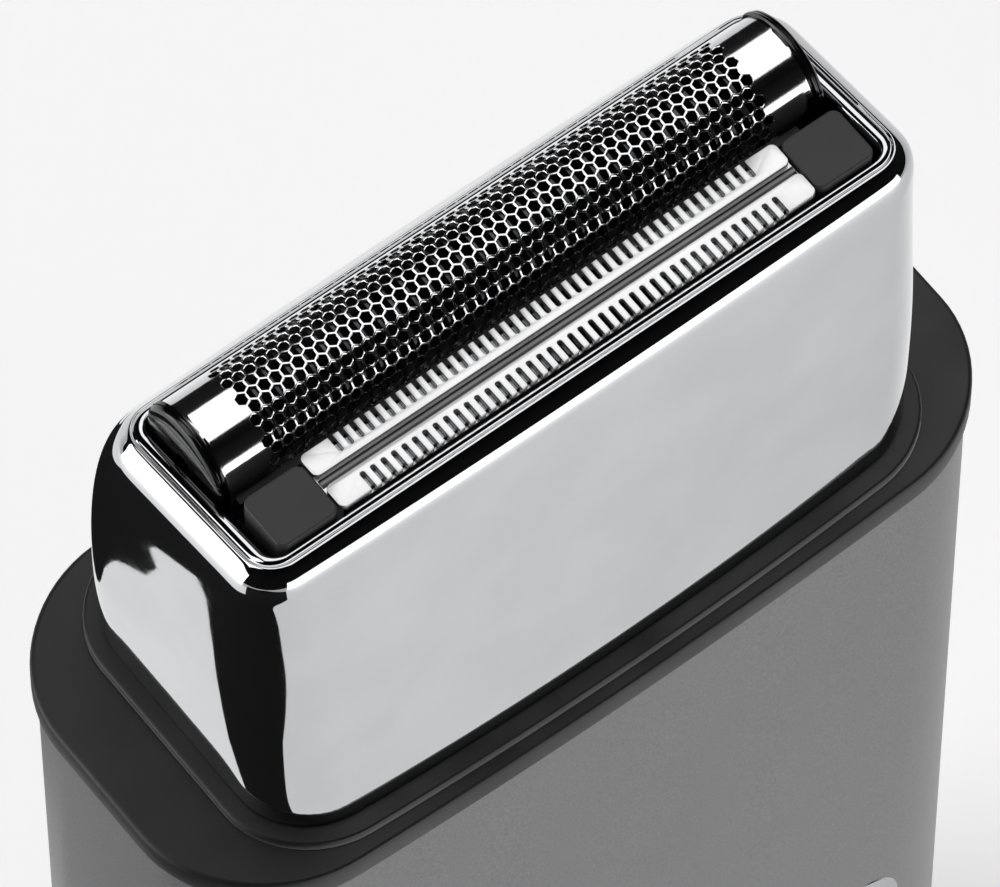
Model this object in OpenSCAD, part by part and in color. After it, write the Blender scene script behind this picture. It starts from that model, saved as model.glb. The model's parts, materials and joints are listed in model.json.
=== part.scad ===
// Single-foil cordless electric shaver, standing on its base.
// Origin: middle of the base. +Z up, +X along the foil, the trimmer side faces -Y.

/* [Body] */
// Width of the body case
body_w = 61.4; // [58:0.2:66]
// Depth of the body case, front to back
body_d = 27.6; // [27:0.2:31]
// Corner radius of the body case
body_r = 8.6; // [6:0.2:10]
// Height of the body case, base cap included
body_h = 91.5; // [91:0.5:92]
// How far the long sides bow outwards at the middle
bow = 1.0; // [0.4:0.1:1.4]
// Wall thickness of the case shells
wall = 1.8; // [1.4:0.1:2.2]

/* [Collar] */
// How far the collar stands out past the case, each side
collar_over = 0.6; // [0.3:0.1:1.5]
// Thickness of the collar
collar_t = 2.2; // [1.8:0.1:3]
// Gap under the collar
collar_gap = 0.5; // [0.3:0.1:1]
// Height of the raised step around the head
step_h = 0.65; // [0.4:0.05:1]

/* [Head] */
// Width of the chromed head at its foot
head_w = 49.8; // [48.8:0.2:52]
// Depth of the chromed head at its foot
head_d = 24.0; // [23.6:0.2:25]
// Height of the head rim above the collar
head_h = 29.6; // [29:0.1:30]
// Corner radius of the head
head_r = 5.2; // [4:0.2:6]
// Wall thickness of the head
head_wall = 1.0; // [0.8:0.1:1.2]

/* [Foil] */
// Radius of the foil arch
foil_r = 3.6; // [3.4:0.05:3.7]
// Half length of the foil
foil_half = 21.0; // [20.6:0.1:21.2]
// Thickness of the foil sheet
foil_t = 0.15; // [0.1:0.01:0.2]
// Pitch of the inner cutter blades
blade_pitch = 1.25; // [1:0.05:1.6]

/* [Trimmer] */
// Half length of the trimmer guard
guard_half = 17.65; // [16.5:0.05:17.7]
// Pitch of the trimmer teeth
tooth_pitch = 0.765; // [0.7:0.005:0.9]
// Number of slots on each edge
slot_n = 41; // [31:2:43]
// Width of one slot
slot_w = 0.34; // [0.2:0.02:0.4]

/* [Motion] */
// Crank radius of the eccentric
crank_r = 1.2; // [1:0.05:1.3]
// Travel of the cutters each way
stroke = 1.1; // [0.8:0.05:1.1]
// Travel of the power button
press = 0.5; // [0.3:0.05:0.5]

/* [Control panel] */
// Width of the control panel
panel_w = 44.6; // [30:0.2:46]
// Height of the control panel
panel_h = 26; // [24:0.5:28]
// Height of the panel's top edge above the base
panel_top = 42; // [40:0.5:46]
// Diameter of the power button
button_d = 11; // [9:0.5:12]

/* [Hidden] */
$fn = 48;
eps = 0.01;

// Heights of the stack
base_h = 3.4;
z_deck = body_h + collar_gap;
z_step = z_deck + collar_t;
z_seat = z_step + step_h;
z_head = z_seat + 0.1;
z_rim = z_head + head_h;
z_trim = z_head + 30.1;
z_arch = z_head + 28.2;

// Plan positions
drive_y = 1.5;
post_x = 17.5;
hook_x = 21.2;
trim_y0 = -3.2;
trim_y1 = -7.52;
groove_y0 = -4.94;
groove_y1 = -5.73;
trim_mid = (trim_y0 + trim_y1) / 2;

// Drive heights
z_batt = 13.6;
batt_l = 43;
batt_r = 7;
batt_y = 3;
z_motor = 60;
motor_l = 22;
motor_r = 8.5;
z_bracket = z_motor + motor_l + 0.2;
z_hub = z_bracket + 2.6;
z_yoke = 88;
yoke_t = 2.6;
z_rod = z_yoke + yoke_t / 2;
rod_r = 0.8;
rod_y0 = -5.9;
rod_y1 = 8.3;
post_top = 108;
tip_top = 116.5;
z_sleeve = 113.4;
z_carrier = 117;
carrier_half = 18.5;
carrier_t = 3.4;
z_frame = 108;
z_beam = 118;
open_y1 = 5.85;
rim_fall = 2.35;

// Points of an arc
function arc_pts(cx, cy, r, a0, n = 6) =
  [for (i = [0:n]) [cx + r * cos(a0 + 90 * i / n), cy + r * sin(a0 + 90 * i / n)]];

// Points between two corners of a long side
function edge_pts(x0, x1, y, n = 6) =
  [for (i = [1:n - 1]) [x0 + (x1 - x0) * i / n, y]];

// Rounded rectangle with bowed long sides
function straight_pts(w, d, r) = concat(
  arc_pts(w / 2 - r, d / 2 - r, r, 0),
  edge_pts(w / 2 - r, r - w / 2, d / 2),
  arc_pts(r - w / 2, d / 2 - r, r, 90),
  arc_pts(r - w / 2, r - d / 2, r, 180),
  edge_pts(r - w / 2, w / 2 - r, -d / 2),
  arc_pts(w / 2 - r, r - d / 2, r, 270));

function outline(w, d, r) =
  [for (p = straight_pts(w, d, r)) [p.x, p.y * (1 - 2 * bow / d * pow(2 * p.x / w, 2))]];

module slab(w, d, r, z, h) {
  translate([0, 0, z])
    linear_extrude(height = h)
      polygon(outline(w, d, r));
}

module band(w, d, r, t, z, h) {
  difference() {
    slab(w, d, r, z, h);
    slab(w - 2 * t, d - 2 * t, max(r - t, 0.6), z - 1, h + 2);
  }
}

// Box from its lowest corner to its highest corner
module box(a, b) {
  translate(a)
    cube(b - a);
}

module disc(x, y, z, r, h) {
  translate([x, y, z])
    cylinder(r = r, h = h);
}

// Cylinder along +Y from y
module bar_y(x, y, z, r, h) {
  translate([x, y, z])
    rotate([-90, 0, 0])
      cylinder(r = r, h = h);
}

// Cylinder along X, centred
module bar_x(y, z, r, half) {
  translate([-half, y, z])
    rotate([0, 90, 0])
      cylinder(r = r, h = 2 * half);
}

// Flat rounded rectangle, exact arcs
module round_rect(w, h, r) {
  square([w - 2 * r, h], center = true);
  square([w, h - 2 * r], center = true);
  for (x = [-1, 1], y = [-1, 1])
    translate([x * (w / 2 - r), y * (h / 2 - r)])
      circle(r = r);
}

// Rounded slab that stands in the XZ plane and runs through the front wall
module front_window(w, h, r, z) {
  translate([0, 0, z])
    rotate([90, 0, 0])
      linear_extrude(height = 30)
        round_rect(w, h, r);
}

// Profile drawn in Y and Z, pushed along X, centred
module along_x(half) {
  translate([-half, 0, 0])
    rotate([90, 0, 90])
      linear_extrude(height = 2 * half)
        children();
}

// Profile drawn in X and Z, pushed along Y, centred
module along_y(half) {
  translate([0, half, 0])
    rotate([90, 0, 0])
      linear_extrude(height = 2 * half)
        children();
}

module coil(x, y, z, r, wire, n, step) {
  translate([x, y, z + wire])
    rotate_extrude()
      for (i = [0:n - 1])
        translate([r, i * step])
          circle(r = wire, $fn = 20);
}

panel_mid = panel_top - panel_h / 2;
button_z = panel_top - 10;
light_z = button_z - 11;

// ---- Handle ----

module case_ring() {
  band(body_w, body_d, body_r, wall, base_h, body_h - base_h);
}

module front_shell() {
  color("gray")
    difference() {
      intersection() {
        case_ring();
        box([-40, -20, 0], [40, -0.05, 100]);
      }
      // seat for the control panel
      difference() {
        front_window(panel_w + 0.3, panel_h + 0.3, 4.15, panel_mid);
        slab(body_w - 2, body_d - 2, body_r - 1, 0, 100);
      }
      bar_y(0, -20, button_z, button_d / 2 + 0.2, 15);
      bar_y(0, -20, light_z, 1.2, 15);
    }
}

module rear_shell() {
  lip_w = body_w - 2 * wall;
  lip_d = body_d - 2 * wall;
  lip_r = body_r - wall;
  color("gray") {
    intersection() {
      case_ring();
      box([-40, 0.05, 0], [40, 20, 100]);
    }
    // lap joint that reaches behind the front shell
    intersection() {
      band(lip_w + 0.2, lip_d + 0.2, lip_r, 0.9, 7, 80);
      box([-40, 0.2, 0], [40, 1.2, 100]);
    }
    intersection() {
      band(lip_w - 0.2, lip_d - 0.2, lip_r, 0.7, 7, 80);
      box([-40, -1.4, 0], [40, 1.2, 100]);
    }
  }
}

module base_cap() {
  color("dimgray")
    difference() {
      union() {
        slab(body_w - 1.6, body_d - 1.6, body_r - 0.8, 0, 0.9);
        slab(body_w, body_d, body_r, 0.8, base_h - 0.9);
        band(body_w - 2 * wall - 0.4, body_d - 2 * wall - 0.4, body_r - wall - 0.2, 1.4, base_h - 0.2, 2.8);
      }
      disc(0, 0, -1, 3.9, 6);
      for (s = [-1, 1]) {
        disc(s * post_x, 0, -1, 2.7, 2.9);
        disc(s * post_x, 0, -1, 1.3, 6);
      }
    }
}

module collar_deck() {
  w = body_w + 2 * collar_over;
  d = body_d + 2 * collar_over;
  color("black")
    difference() {
      union() {
        slab(w, d, body_r + collar_over, z_deck, collar_t);
        slab(head_w + 2.4, head_d + 2.4, head_r + 1.2, z_step - 0.1, step_h + 0.1);
        band(body_w - 2 * wall - 0.4, body_d - 2 * wall - 0.4, body_r - wall - 0.2, 1.4, z_deck - 3.4, 3.5);
      }
      box([-4.6, -7.8, z_deck - 1], [4.6, 5.4, z_seat + 1]);
      for (s = [-1, 1]) {
        translate([s * (hook_x + 0.3), 0, z_deck - 1])
          linear_extrude(height = 6)
            square([2.8, 6.6], center = true);
        disc(s * post_x, 0, z_step - 0.8, 2.5, 3);
        disc(s * post_x, 0, z_deck - 1, 1.2, 6);
      }
    }
}

module deck_seal() {
  color("dimgray")
    difference() {
      box([-4.6, -7.8, z_deck + 0.5], [4.6, 5.4, z_deck + 1.5]);
      box([-3.6, -7.2, z_deck], [3.6, 4.2, z_deck + 2]);
    }
}

module chassis() {
  color("darkslategray")
    difference() {
      union() {
        for (s = [-1, 1])
          box([s * post_x - 2.5, -2.5, base_h], [s * post_x + 2.5, 2.5, z_deck - 0.05]);
        box([-20, -4, z_batt - 1.8], [20, 10.2, z_batt - 0.3]);
        box([-20, -4.6, z_batt + batt_l + 0.4], [20, 10.2, z_motor - 1.4]);
        box([-20, -8.6, z_bracket - 2], [20, 10.2, z_bracket]);
        for (s = [-1, 1])
          box([s * 9 - 0.6, -2.2, z_batt - 0.4], [s * 9 + 0.6, 8, z_batt + batt_l + 0.6]);
        for (s = [-1, 1], z = [16, 54])
          box([s * 13.5 - 1.2, -5.35, z], [s * 13.5 + 1.2, -2, z + 3]);
        for (s = [-1, 1], z = [16, 54])
          box([s * 13.5 - 1.2, -2.4, z], [s * 16, 0, z + 3]);
      }
      disc(0, drive_y, z_bracket - 3, motor_r + 0.1, 4);
      for (s = [-1, 1]) {
        disc(s * post_x, 0, base_h - 1, 1.15, 9);
        disc(s * post_x, 0, z_deck - 9, 1.15, 10);
      }
    }
}

module motor_bracket() {
  color("silver")
    difference() {
      union() {
        box([-14.6, -8.4, z_bracket + 0.02], [14.6, 10.1, z_bracket + 2]);
        for (s = [-1, 1], y = [rod_y0, rod_y1])
          box([s * 12.5 - 1, y - 1.7, z_bracket + 1.9], [s * 12.5 + 1, y + 1.7, z_rod + 1.7]);
      }
      disc(0, drive_y, z_bracket - 1, 2.05, 5);
      bar_x(rod_y0, z_rod, rod_r, 16);
      bar_x(rod_y1, z_rod, rod_r, 16);
    }
}

module battery_cell() {
  color("royalblue") {
    disc(0, batt_y, z_batt, batt_r, batt_l - 1.2);
    disc(0, batt_y, z_batt + batt_l - 1.3, 2.6, 1.3);
  }
}

module battery_contact_top() {
  color("silver")
    box([-3, batt_y - 5, z_batt + batt_l + 0.05], [3, batt_y + 5, z_batt + batt_l + 0.35]);
}

module battery_contact_bottom() {
  color("silver")
    box([-3, batt_y - 5, z_batt - 0.28], [3, batt_y + 5, z_batt - 0.03]);
}

module circuit_board() {
  color("darkgreen") {
    box([-15, -6.6, 10], [15, -5.4, 60]);
    box([-9, -7.7, 46], [-3, -6.55, 52]);
    box([3, -7.5, 47], [7, -6.55, 51]);
    box([-1, -7.6, light_z - 0.8], [1, -6.55, light_z + 0.8]);
  }
}

module tact_switch() {
  color("black") {
    box([-3, -9, button_z - 3], [3, -6.62, button_z + 3]);
    bar_y(0, -9.9, button_z, 1.7, 1);
  }
}

module control_panel() {
  color("lightgray")
    difference() {
      intersection() {
        difference() {
          slab(body_w + 0.2, body_d + 0.2, body_r + 0.1, 0, 100);
          slab(body_w - 1.9, body_d - 1.9, body_r - 0.95, -1, 102);
        }
        front_window(panel_w, panel_h, 4, panel_mid);
      }
      bar_y(0, -20, button_z, button_d / 2 + 0.2, 15);
      bar_y(0, -20, light_z, 1.2, 15);
    }
}

module indicator_light() {
  color("lime")
    bar_y(0, -body_d / 2 - 0.15, light_z, 1.1, body_d / 2 - 7.75);
}

module charge_jack() {
  color("dimgray")
    difference() {
      union() {
        disc(0, 0, 0.5, 3.7, 10.5);
      }
      disc(0, 0, 0, 1.75, 9.5);
    }
}

// Screw whose head is at z and whose shank goes up (dir 1) or down (dir -1)
module screw(x, z, dir) {
  difference() {
    union() {
      disc(x, 0, dir > 0 ? z : z - 1.4, 2.2, 1.4);
      disc(x, 0, dir > 0 ? z : z - 9, 1.1, 9);
    }
    translate([x - 1.6, -0.3, dir > 0 ? z - 0.1 : z - 0.6])
      cube([3.2, 0.6, 0.7]);
    translate([x - 0.3, -1.6, dir > 0 ? z - 0.1 : z - 0.6])
      cube([0.6, 3.2, 0.7]);
  }
}

module base_screw_left() {
  color("silver")
    screw(-post_x, 0.45, 1);
}

module base_screw_right() {
  color("silver")
    screw(post_x, 0.45, 1);
}

module deck_screw_left() {
  color("silver")
    screw(-post_x, z_seat - 0.02, -1);
}

module deck_screw_right() {
  color("silver")
    screw(post_x, z_seat - 0.02, -1);
}

module motor_can() {
  color("slategray")
    difference() {
      intersection() {
        disc(0, drive_y, z_motor, motor_r, motor_l);
        box([-10, drive_y - 7.6, 0], [10, drive_y + 7.6, 100]);
      }
      disc(0, drive_y, z_motor + 12, 1.04, motor_l);
    }
}

module shaft_bush() {
  color("goldenrod")
    difference() {
      disc(0, drive_y, z_bracket - 0.18, 2.02, 2.4);
      disc(0, drive_y, z_bracket - 1, 1.04, 5);
    }
}

module guide_rod_front() {
  color("silver")
    bar_x(rod_y0, z_rod, rod_r, 13.5);
}

module guide_rod_rear() {
  color("silver")
    bar_x(rod_y1, z_rod, rod_r, 13.5);
}

// ---- Button ----

module power_button() {
  front = -body_d / 2 - 0.55;
  color("black")
    difference() {
      union() {
        bar_y(0, front, button_z, button_d / 2, -11.6 - front);
        bar_y(0, -11.8, button_z, 6.4, 0.8);
        bar_y(0, -11.1, button_z, 1.5, 0.65);
      }
      // shallow dish for the finger
      translate([0, front - 18.6, button_z])
        sphere(r = 19);
    }
}

// ---- Rotor ----

module motor_shaft() {
  color("silver")
    disc(0, drive_y, z_motor + 12.4, 1, z_hub + 2.2 - z_motor - 12.4);
}

module eccentric_hub() {
  color("white") {
    difference() {
      disc(0, drive_y, z_hub, 3.2, 2.4);
      disc(0, drive_y, z_hub - 1, 1, 5);
    }
    disc(0, drive_y + crank_r, z_hub + 2.2, 0.8, z_yoke + 2.2 - z_hub - 2.2);
  }
}

// ---- Drive yoke ----

module drive_yoke() {
  slot_half = 0.97;
  color("ivory")
    difference() {
      union() {
        box([-9, rod_y0 - 1.4, z_yoke], [9, rod_y1 + 1.4, z_yoke + yoke_t]);
        box([-2.2, drive_y - 1.8, z_yoke + 2.3], [2.2, drive_y + 1.8, post_top]);
        disc(0, drive_y, post_top - 1, 1.4, tip_top - post_top + 1);
        box([-1.6, trim_mid - 1.1, z_yoke + 2.3], [1.6, trim_mid + 1.1, 117.5]);
      }
      // slot that the crank pin runs in
      box([-slot_half, drive_y - 0.6, z_yoke - 1], [slot_half, drive_y + crank_r + 1.1, z_yoke + yoke_t - 0.1]);
      // fork that takes the trimmer blade's lug
      box([-0.75, trim_mid - 2, 112], [0.75, trim_mid + 2, 118]);
      bar_x(rod_y0, z_rod, rod_r + 0.06, 12);
      bar_x(rod_y1, z_rod, rod_r + 0.06, 12);
    }
}

module cutter_spring() {
  color("silver")
    coil(0, drive_y, post_top + 0.02, 1.85, 0.3, 10, 0.52);
}

// ---- Inner cutter ----

module cutter_carrier() {
  color("ivory")
    difference() {
      union() {
        box([-carrier_half, drive_y - 2.7, z_carrier], [carrier_half, drive_y + 2.7, z_carrier + carrier_t]);
        box([-3.4, drive_y - 2.7, z_sleeve], [3.4, drive_y + 2.7, z_carrier + 0.1]);
      }
      disc(0, drive_y, z_sleeve - 1, 1.46, 5.8);
    }
}

module cutter_blades() {
  r = foil_r - foil_t - 0.05;
  n = floor((carrier_half - 0.4) / blade_pitch);
  z_core = z_carrier + carrier_t + 0.01;
  color("silver") {
    box([-carrier_half, drive_y - 1.3, z_core], [carrier_half, drive_y + 1.3, z_core + 1.2]);
    for (i = [-n:n])
      translate([i * blade_pitch, 0, 0])
        intersection() {
          along_x(0.1)
            translate([drive_y, z_arch])
              circle(r = r);
          box([-1, -10, z_core], [1, 10, z_rim + 10]);
        }
  }
}

// ---- Head ----

// Front view of the head: ends that swell a little, a long bevel, then the rim
function head_front(w, h, s) = [
  [-w / 2 - 0.2, -1], [w / 2 + 0.2, -1], [w / 2 + 0.65, h * 0.25], [w / 2 + 0.75, h * 0.47],
  [w / 2 + 0.62, h * 0.6], [w / 2 + 0.35, h * 0.71], [w / 2 + 0.05, h * 0.79], [w / 2 - 0.9, h * 0.955],
  [w / 2 - s, h], [s - w / 2, h], [0.9 - w / 2, h * 0.955], [-w / 2 - 0.05, h * 0.79],
  [-w / 2 - 0.35, h * 0.71], [-w / 2 - 0.62, h * 0.6], [-w / 2 - 0.75, h * 0.47], [-w / 2 - 0.65, h * 0.25]];

// Side view of the head: front and back lean in, and the rim slopes down to the back
function head_side(d, h, t) = [
  [-d / 2 + t, -1], [d / 2 - t, -1], [d / 2 + 0.1 - t, h * 0.2], [d / 2 - 0.9 - t, h * 0.5],
  [d / 2 - 2.4 - t, h * 0.7], [d / 2 - 3.9 - t, h * 0.81], [d / 2 - 5.2 - t, h - rim_fall - 0.35],
  [d / 2 - 5.6 - t, h - rim_fall], [-d / 2 + 3.3 + t, h], [-d / 2 + 2.5 + t, h * 0.94],
  [-d / 2 + 1.8 + t, h * 0.84], [-d / 2 + 0.8 + t, h * 0.55], [-d / 2 - 0.1 + t, h * 0.2]];

module head_form(t, h) {
  translate([0, 0, z_head])
    intersection() {
      along_y(20)
        polygon(head_front(head_w - 2 * t, h, 1.9));
      along_x(40)
        polygon(head_side(head_d, h, t));
      linear_extrude(height = h)
        polygon(outline(head_w + 1.6 - 2 * t, head_d + 0.3 - 2 * t, head_r - t));
    }
}

module head_cap() {
  color("lightsteelblue")
    difference() {
      head_form(0, head_h);
      translate([0, 0, -0.01])
        head_form(head_wall, head_h - 1.2);
      translate([0, (trim_y1 - 0.3 + open_y1) / 2, z_rim - 5])
        linear_extrude(height = 10)
          round_rect(45.5, open_y1 - trim_y1 + 0.3, 0.6);
    }
}

module head_frame() {
  color("dimgray")
    difference() {
      union() {
        slab(47, 19.6, 4, z_frame, 2);
        for (s = [-1, 1]) {
          box([s * hook_x - 0.8, -2.6, z_deck - 1], [s * hook_x + 0.8, 2.6, z_frame + 0.1]);
          box([s * (hook_x + 0.6) - 0.7, -2.6, z_deck - 1], [s * (hook_x + 0.6) + 0.7, 2.6, z_deck - 0.2]);
        }
      }
      box([-19.9, -4.1, z_frame - 1], [19.9, 6.4, z_frame + 3]);
      box([-3.2, -7.4, z_frame - 1], [3.2, -4, z_frame + 3]);
    }
}

module trimmer_spring_left() {
  color("silver")
    coil(-13, trim_mid, z_frame + 2.02, 0.9, 0.2, 21, 0.375);
}

module trimmer_spring_right() {
  color("silver")
    coil(13, trim_mid, z_frame + 2.02, 0.9, 0.2, 21, 0.375);
}

// ---- Foil cassette ----

module arch(r, z0) {
  translate([drive_y, z_arch])
    intersection() {
      circle(r = r);
      translate([-r, 0])
        square([2 * r, r]);
    }
  translate([drive_y - r, z0])
    square([2 * r, z_arch - z0 + eps]);
}

module foil() {
  color("silver")
    difference() {
      along_x(foil_half)
        arch(foil_r, z_beam + 0.5);
      along_x(foil_half + 1)
        arch(foil_r - foil_t, z_beam - 1);
    }
}

module foil_frame() {
  color("dimgray") {
    for (s = [-1, 1])
      box([-foil_half + 0.05, drive_y + s * (foil_r + 0.35) - 0.3, z_beam],
          [foil_half - 0.05, drive_y + s * (foil_r + 0.35) + 0.3, z_beam + 3]);
    for (s = [-1, 1])
      box([s * 20.4 - 0.5, drive_y - foil_r - 0.8, z_beam - 1], [s * 20.4 + 0.5, drive_y + foil_r + 0.8, z_beam + 0.1]);
  }
}

module foil_end(s) {
  color("black") {
    translate([s * 21.81, 0, 0])
      along_x(0.79)
        arch(foil_r + 0.35, z_beam);
    // raised lip that the foil's edge sits against
    translate([s * 21.3, 0, 0])
      along_x(0.28)
        arch(foil_r + 0.5, z_beam + 3.4);
  }
}

module foil_end_left() {
  foil_end(-1);
}

module foil_end_right() {
  foil_end(1);
}

// ---- Trimmer ----

module trimmer_carrier() {
  color("darkslategray") {
    difference() {
      box([-22.1, trim_y1, z_beam], [22.1, trim_y0 - 0.3, z_beam + 2]);
      box([-3, trim_y1 - 1, z_beam - 1], [3, trim_y0 + 1, z_beam + 3]);
    }
    for (s = [-1, 1])
      box([min(s * 22.1, s * 2.9), trim_y1, z_beam], [max(s * 22.1, s * 2.9), trim_y1 + 0.3, z_beam + 2]);
    box([-3.1, trim_y1, z_beam], [3.1, trim_y1 + 0.8, z_beam + 2]);
    for (s = [-1, 1])
      translate([s * 19.93, (trim_y1 + trim_y0 - 0.3) / 2, z_beam])
        linear_extrude(height = z_trim - z_beam)
          round_rect(4.34, trim_y0 - 0.3 - trim_y1, 0.6);
    for (s = [-1, 1])
      box([s * 10 - 0.8, trim_mid - 0.8, z_beam + 1.9], [s * 10 + 0.8, trim_mid + 0.8, z_trim - 1.72]);
  }
}

module tooth_slots(y0, y1, z0, z1) {
  span = tooth_pitch * (slot_n - 1);
  for (i = [0:slot_n - 1])
    box([i * tooth_pitch - span / 2 - slot_w / 2, y0, z0], [i * tooth_pitch - span / 2 + slot_w / 2, y1, z1]);
}

module trimmer_guard() {
  color("silver")
    difference() {
      union() {
        box([-guard_half, groove_y0, z_trim - 0.5], [guard_half, trim_y0, z_trim]);
        box([-guard_half, trim_y1, z_trim - 0.5], [guard_half, groove_y1, z_trim]);
        box([-guard_half, groove_y1 - 0.3, z_trim - 0.85], [guard_half, groove_y0 + 0.3, z_trim - 0.45]);
        box([-guard_half, trim_y1, z_trim - 2.4], [guard_half, trim_y1 + 0.3, z_trim - 0.4]);
        box([-guard_half, trim_y0 - 0.3, z_trim - 2.4], [guard_half, trim_y0, z_trim - 0.4]);
        for (s = [-1, 1], y = [trim_y1, trim_y0 - 0.3])
          box([s * 17.1 - 0.55, y, z_beam + 2.02], [s * 17.1 + 0.55, y + 0.3, z_trim - 2]);
      }
      tooth_slots(trim_y1 - 1, trim_y1 + 1.2, z_trim - 1.6, z_trim + 1);
      tooth_slots(trim_y0 - 1.2, trim_y0 + 1, z_trim - 1.6, z_trim + 1);
    }
}

module trimmer_blade() {
  half = 16;
  color("white")
    difference() {
      union() {
        box([-half, trim_y1 + 0.42, z_trim - 1.15], [half, groove_y1 - 0.4, z_trim - 0.56]);
        box([-half, groove_y0 + 0.4, z_trim - 1.15], [half, trim_y0 - 0.42, z_trim - 0.56]);
        box([-half, trim_y1 + 0.9, z_trim - 1.6], [half, trim_y0 - 0.9, z_trim - 0.92]);
        box([-0.6, trim_mid - 0.7, 113.5], [0.6, trim_mid + 0.7, z_trim - 1.5]);
      }
      tooth_slots(trim_y1 - 1, trim_y1 + 1.05, z_trim - 2, z_trim + 1);
      tooth_slots(trim_y0 - 1.05, trim_y0 + 1, z_trim - 2, z_trim + 1);
    }
}

front_shell();
rear_shell();
base_cap();
collar_deck();
deck_seal();
chassis();
motor_bracket();
battery_cell();
battery_contact_top();
battery_contact_bottom();
circuit_board();
tact_switch();
control_panel();
indicator_light();
charge_jack();
base_screw_left();
base_screw_right();
deck_screw_left();
deck_screw_right();
motor_can();
shaft_bush();
guide_rod_front();
guide_rod_rear();
power_button();
motor_shaft();
eccentric_hub();
drive_yoke();
cutter_spring();
cutter_carrier();
cutter_blades();
head_cap();
head_frame();
trimmer_spring_left();
trimmer_spring_right();
foil();
foil_frame();
foil_end_left();
foil_end_right();
trimmer_carrier();
trimmer_guard();
trimmer_blade();
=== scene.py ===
"""Foil shaver: the bright head, the perforated foil, the trimmer, the case and a
soft studio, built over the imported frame. Lengths are in metres."""

import json
import math

import bmesh
import bpy
from bpy.props import FloatProperty, FloatVectorProperty, IntProperty, PointerProperty
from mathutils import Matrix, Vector

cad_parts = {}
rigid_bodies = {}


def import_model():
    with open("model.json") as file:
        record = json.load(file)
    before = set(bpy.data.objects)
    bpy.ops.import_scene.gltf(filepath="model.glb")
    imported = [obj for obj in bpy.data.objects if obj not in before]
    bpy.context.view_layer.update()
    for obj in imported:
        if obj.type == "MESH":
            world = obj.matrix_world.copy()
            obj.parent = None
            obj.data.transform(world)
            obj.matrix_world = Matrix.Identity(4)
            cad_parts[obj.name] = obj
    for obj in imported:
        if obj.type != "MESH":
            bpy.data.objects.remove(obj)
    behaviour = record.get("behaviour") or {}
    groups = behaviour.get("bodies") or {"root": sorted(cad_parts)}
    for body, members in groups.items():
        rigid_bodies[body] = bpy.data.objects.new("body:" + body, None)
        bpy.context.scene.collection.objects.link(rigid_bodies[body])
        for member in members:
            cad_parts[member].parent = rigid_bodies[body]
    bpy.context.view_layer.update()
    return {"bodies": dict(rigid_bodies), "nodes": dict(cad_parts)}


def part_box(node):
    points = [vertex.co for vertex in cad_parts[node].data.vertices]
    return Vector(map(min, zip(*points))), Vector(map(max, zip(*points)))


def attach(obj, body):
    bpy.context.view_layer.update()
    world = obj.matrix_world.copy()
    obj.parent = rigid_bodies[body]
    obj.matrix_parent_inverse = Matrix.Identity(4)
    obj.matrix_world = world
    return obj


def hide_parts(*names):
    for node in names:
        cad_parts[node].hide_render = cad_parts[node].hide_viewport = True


bl_info = {
    "name": "Foil shaver",
    "version": (1, 0, 0),
    "blender": (4, 5, 0),
    "location": "3D View > Sidebar > Shaver",
    "description": "Builds a foil shaver's visible pieces, finishes and studio",
    "category": "Object",
}

for left_over in list(bpy.data.objects):
    bpy.data.objects.remove(left_over)
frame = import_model()
NODES = frame["nodes"]
MM = 0.001
MICRON = 1e-6
# where the two painted half shells meet, in y
PARTING = -8.4 * MM
HALF_PI = math.pi / 2


# ---------------------------------------------------------------- settings


def linear(hexa):
    """An sRGB hex colour as linear red, green, blue, alpha."""
    parts = [int(hexa[i : i + 2], 16) / 255 for i in (1, 3, 5)]
    return [c / 12.92 if c <= 0.04045 else ((c + 0.055) / 1.055) ** 2.4 for c in parts] + [
        1.0
    ]


def colour(name, description, hexa):
    return FloatVectorProperty(
        name=name, description=description, default=linear(hexa), size=4, min=0, max=1,
        subtype="COLOR",
    )


def length(name, description, millimetres):
    return FloatProperty(
        name=name, description=description, default=millimetres * MM, unit="LENGTH"
    )


def number(name, description, default):
    return IntProperty(name=name, description=description, default=default)


def power(name, watts):
    return FloatProperty(name=name, description="Power in watts", default=watts)


class ShaverSizes(bpy.types.PropertyGroup):
    """Sizes of the details that the looks add to the frame"""

    hole_pitch: length(
        "Foil hole pitch", "Distance from one foil hole to the next in a row", 0.83
    )
    hole_bar: length("Foil bar", "Width of the metal between two foil holes", 0.17)
    hole_rows: number("Foil rows", "Rows of holes over the arch", 16)
    holes_in_row: number("Holes in a row", "Holes along the foil", 45)
    slot_pitch: length(
        "Trimmer slot pitch", "Distance from one trimmer slot to the next", 0.765
    )
    slot_width: length(
        "Trimmer slot width", "Width of one slot in the trimmer guard", 0.34
    )
    slot_count: number("Trimmer slots", "Slots along each bar", 41)
    long_side_bow: length(
        "Long side bow", "How far the front and back of the case bulge", 1.0
    )
    soft_edge: length("Edge rounding", "Rounding on the moulded edges", 0.3)


class ShaverColours(bpy.types.PropertyGroup):
    """Colours of the finishes in plain sight"""

    case: colour("Case", "Darker flakes of the painted case", "#5f5f60")
    case_flake: colour("Case flakes", "Lighter flakes of the painted case", "#8a8a8b")
    head: colour("Head", "Bright plating of the head", "#c9cacc")
    foil: colour("Foil", "Metal between the foil's holes", "#e8e8ea")
    arch: colour("Foil ends", "Glossy arches at the foil's ends", "#0b0b0c")
    guard: colour("Trimmer guard", "Slotted bars of the trimmer", "#dedede")
    block: colour("Trimmer body", "Dull plastic that carries the guard", "#363636")
    collar: colour("Collar", "Black deck that the head stands on", "#151516")


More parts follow.
